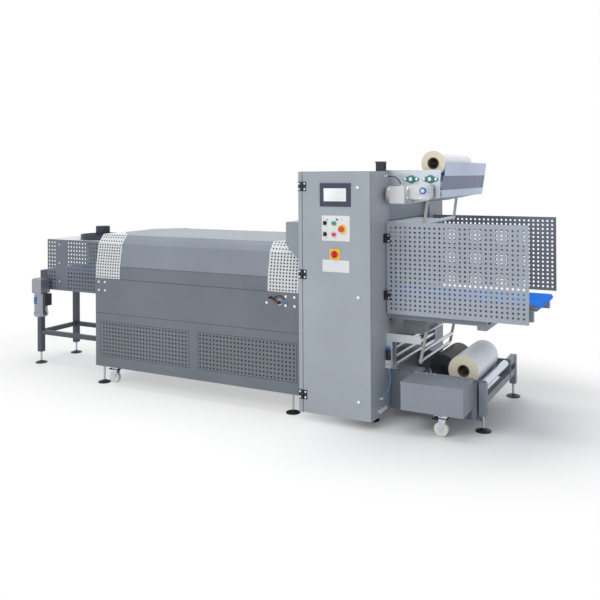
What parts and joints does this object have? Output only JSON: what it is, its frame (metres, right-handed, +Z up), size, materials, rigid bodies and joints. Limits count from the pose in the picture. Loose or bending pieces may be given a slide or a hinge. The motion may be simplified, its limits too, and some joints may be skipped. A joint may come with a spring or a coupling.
{
  "type": "shrink bundler",
  "caption": "Sleeve sealer with a belt infeed, guarded film unwinders and an inline shrink tunnel with outfeed conveyor.",
  "frame": {"origin": "on the floor, under the middle of the machine's outer box", "axes": "+X from the outfeed to the infeed, +Y from the operator side to the rear, +Z up"},
  "size_m": [4.7739, 1.6814, 1.9812],
  "materials": {
    "panel_grey": "satin powder coat",
    "tunnel_grey": "satin powder coat",
    "dark_grey": "satin powder coat",
    "cover_white": "satin powder coat",
    "fascia_blue": "satin powder coat",
    "belt_blue": "smooth belt",
    "belt_dark": "belt",
    "steel": "brushed",
    "gear_silver": "cast and painted",
    "bearing_green": "gloss",
    "black": "fine grain",
    "film": "wound clear film",
    "wheel": "nylon",
    "bezel": "moulded",
    "plate_grey": "printed plate",
    "hose_blue": "extruded tube",
    "green": "gloss",
    "red": "gloss"
  },
  "bodies": {
    "frame": {"air_hose": "hose_blue", "air_valve": "black", "bearing_units": "bearing_green", "connection_housing": "panel_grey", "control_cabinet": "panel_grey", "cooling_fan": "black", "end_covers": "cover_white", "fascia": "fascia_blue", "feed_rollers": "steel", "film_gearmotor": "gear_silver", "front_box": "panel_grey", "hinge_leaves": "black", "infeed_belt": "belt_blue", "infeed_conveyor": "panel_grey", "levelling_feet": "black", "motor_cable": "black", "outfeed_belt": "belt_dark", "outfeed_conveyor": "dark_grey", "outfeed_frame": "dark_grey", "outfeed_gearmotor": "gear_silver", "outfeed_guard": "dark_grey", "rear_housing": "panel_grey", "sealer_base": "panel_grey", "sealer_bridge": "panel_grey", "sealing_bars": "steel", "service_panels": "tunnel_grey", "side_glands": "black", "side_plates": "steel", "top_box": "black", "tunnel_base": "tunnel_grey", "tunnel_body": "tunnel_grey", "tunnel_hood": "tunnel_grey", "unwinder_frame": "panel_grey", "valve_bracket": "steel"},
    "door": {"cabinet_door": "panel_grey", "touch_panel": "bezel", "control_plates": "plate_grey", "door_locks": "black"},
    "green_button": {"green_button": "green"},
    "red_button": {"red_button": "red"},
    "upper_selector": {"upper_selector": "black"},
    "lower_selector": {"lower_selector": "black"},
    "emergency_stop": {"emergency_stop": "red"},
    "main_switch": {"main_switch": "red"},
    "front_guard": {"front_guard": "panel_grey"},
    "rear_guard": {"rear_guard": "dark_grey"},
    "top_film_roll": {"top_film_roll": "film"},
    "lower_film_roll": {"lower_film_roll": "film"},
    "upper_dancer": {"upper_dancer": "steel"},
    "lower_dancer": {"lower_dancer": "steel"},
    "damper_lever": {"damper_lever": "black"},
    "silver_roller": {"silver_roller": "steel"},
    "dark_drum": {"dark_drum": "dark_grey"},
    "left_caster_fork": {"left_caster_fork": "steel"},
    "left_caster_wheel": {"left_caster_wheel": "wheel"},
    "right_caster_fork": {"right_caster_fork": "steel"},
    "right_caster_wheel": {"right_caster_wheel": "wheel"}
  },
  "joints": [
    {"name": "door_hinge", "type": "hinge", "parent": "frame", "child": "door", "pos_m": [0.761, -0.81035, 1], "axis": [0, 0, -1], "range_deg": [0, 110]},
    {"name": "green_push", "type": "slide", "parent": "door", "child": "green_button", "axis": [0, 1, 0], "range_m": [0, 0.004], "stiffness_N_per_m": 400},
    {"name": "red_push", "type": "slide", "parent": "door", "child": "red_button", "axis": [0, 1, 0], "range_m": [0, 0.004], "stiffness_N_per_m": 400},
    {"name": "upper_selector_turn", "type": "hinge", "parent": "door", "child": "upper_selector", "pos_m": [0.95, -0.80435, 1.46], "axis": [0, 1, 0], "range_deg": [0, 90]},
    {"name": "lower_selector_turn", "type": "hinge", "parent": "door", "child": "lower_selector", "pos_m": [0.95, -0.80435, 1.38], "axis": [0, 1, 0], "range_deg": [0, 90]},
    {"name": "stop_push", "type": "slide", "parent": "door", "child": "emergency_stop", "axis": [0, 1, 0], "range_m": [0, 0.005]},
    {"name": "main_switch_turn", "type": "hinge", "parent": "door", "child": "main_switch", "pos_m": [1.025, -0.80435, 1.236], "axis": [0, 1, 0], "range_deg": [0, 90]},
    {"name": "front_guard_hinge", "type": "hinge", "parent": "frame", "child": "front_guard", "pos_m": [1.308, -0.52585, 1.1], "axis": [0, 0, -1], "range_deg": [0, 90]},
    {"name": "rear_guard_hinge", "type": "hinge", "parent": "frame", "child": "rear_guard", "pos_m": [1.308, 0.56115, 1.1], "axis": [0, 0, 1], "range_deg": [0, 90]},
    {"name": "top_roll_spin", "type": "hinge", "parent": "frame", "child": "top_film_roll", "pos_m": [1.632, -0.39435, 1.88919], "axis": [0, 1, 0], "continuous": true},
    {"name": "lower_roll_spin", "type": "hinge", "parent": "frame", "child": "lower_film_roll", "pos_m": [1.847, -0.38435, 0.392], "axis": [0, 1, 0], "continuous": true},
    {"name": "upper_dancer_swing", "type": "hinge", "parent": "frame", "child": "upper_dancer", "pos_m": [1.592, -0.80435, 1.64], "axis": [0, 1, 0], "range_deg": [-25, 25]},
    {"name": "lower_dancer_swing", "type": "hinge", "parent": "frame", "child": "lower_dancer", "pos_m": [1.574, -0.80435, 0.645], "axis": [0, 1, 0], "range_deg": [0, 25]},
    {"name": "damper_turn", "type": "hinge", "parent": "frame", "child": "damper_lever", "pos_m": [0.527, -0.80435, 0.843], "axis": [0, 1, 0], "range_deg": [0, 120]},
    {"name": "silver_roller_spin", "type": "hinge", "parent": "frame", "child": "silver_roller", "pos_m": [1.999, -0.80435, 0.322], "axis": [0, 1, 0], "continuous": true},
    {"name": "dark_drum_spin", "type": "hinge", "parent": "frame", "child": "dark_drum", "pos_m": [1.62, -0.80435, 0.342], "axis": [0, 1, 0], "continuous": true},
    {"name": "left_caster_swivel", "type": "hinge", "parent": "frame", "child": "left_caster_fork", "pos_m": [-1.163, -0.65435, 0.158], "axis": [0, 0, 1], "continuous": true},
    {"name": "left_caster_roll", "type": "hinge", "parent": "left_caster_fork", "child": "left_caster_wheel", "pos_m": [-1.191, -0.65435, 0.052], "axis": [0, 1, 0], "continuous": true},
    {"name": "right_caster_swivel", "type": "hinge", "parent": "frame", "child": "right_caster_fork", "pos_m": [1.802, -0.67435, 0.165], "axis": [0, 0, 1], "continuous": true},
    {"name": "right_caster_roll", "type": "hinge", "parent": "right_caster_fork", "child": "right_caster_wheel", "pos_m": [1.774, -0.67435, 0.052], "axis": [0, 1, 0], "continuous": true}
  ]
}
